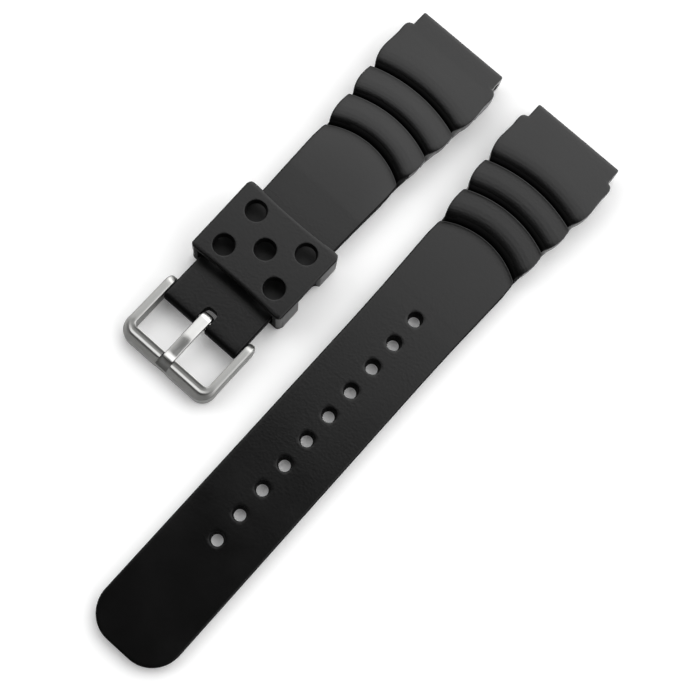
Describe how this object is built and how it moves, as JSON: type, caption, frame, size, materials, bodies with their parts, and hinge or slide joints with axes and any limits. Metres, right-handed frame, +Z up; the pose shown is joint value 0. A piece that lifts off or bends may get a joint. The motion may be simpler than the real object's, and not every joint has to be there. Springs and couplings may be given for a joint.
{
  "type": "watch strap",
  "caption": "Resin watch strap laid out in two halves, with wave grooves at the lug ends, adjustment holes, a sliding vented keeper and a steel tang buckle on a spring bar.",
  "frame": {"origin": "middle of the footprint of the two halves laid side by side, on the surface that they lie on", "axes": "+X across the halves toward the long one, +Y along both halves toward their lug ends, +Z up, away from the surface"},
  "size_m": [0.0566, 0.1416, 0.0088],
  "materials": {
    "strap_resin": "satin black resin",
    "keeper_resin": "satin black resin",
    "buckle_steel": "satin steel",
    "tongue_steel": "polished steel",
    "bar_steel": "bright steel",
    "spring_steel": "drawn wire"
  },
  "bodies": {
    "short_half": {"short_strap": "strap_resin", "spring_bar_tube": "bar_steel", "spring_bar_spring": "spring_steel"},
    "long_half": {"long_strap": "strap_resin"},
    "keeper": {"keeper": "keeper_resin"},
    "frame": {"buckle_frame": "buckle_steel"},
    "tongue": {"buckle_tongue": "tongue_steel"},
    "plunger_left": {"spring_bar_plunger_left": "bar_steel"},
    "plunger_right": {"spring_bar_plunger_right": "bar_steel"}
  },
  "joints": [
    {"name": "keeper_slide", "type": "slide", "parent": "short_half", "child": "keeper", "axis": [0, 1, 0], "range_m": [-0.0025, 0.009]},
    {"name": "buckle_hinge", "type": "hinge", "parent": "short_half", "child": "frame", "pos_m": [-0.0158, -0.0116, 0.0028], "axis": [-1, 0, 0], "range_deg": [-60, 40]},
    {"name": "tongue_hinge", "type": "hinge", "parent": "frame", "child": "tongue", "pos_m": [-0.0158, -0.0116, 0.0028], "axis": [-1, 0, 0], "range_deg": [0, 70]},
    {"name": "plunger_left_slide", "type": "slide", "parent": "short_half", "child": "plunger_left", "axis": [1, 0, 0], "range_m": [0, 0.0012], "stiffness_N_per_m": 300, "springref_m": -0.003, "deforming": ["spring_bar_spring"]},
    {"name": "plunger_right_slide", "type": "slide", "parent": "short_half", "child": "plunger_right", "axis": [-1, 0, 0], "range_m": [0, 0.0012], "stiffness_N_per_m": 300, "springref_m": -0.003},
    {"name": "halves_apart", "type": "slide", "parent": "short_half", "child": "long_half", "axis": [1, 0, 0], "range_m": [0, 0.05]}
  ]
}
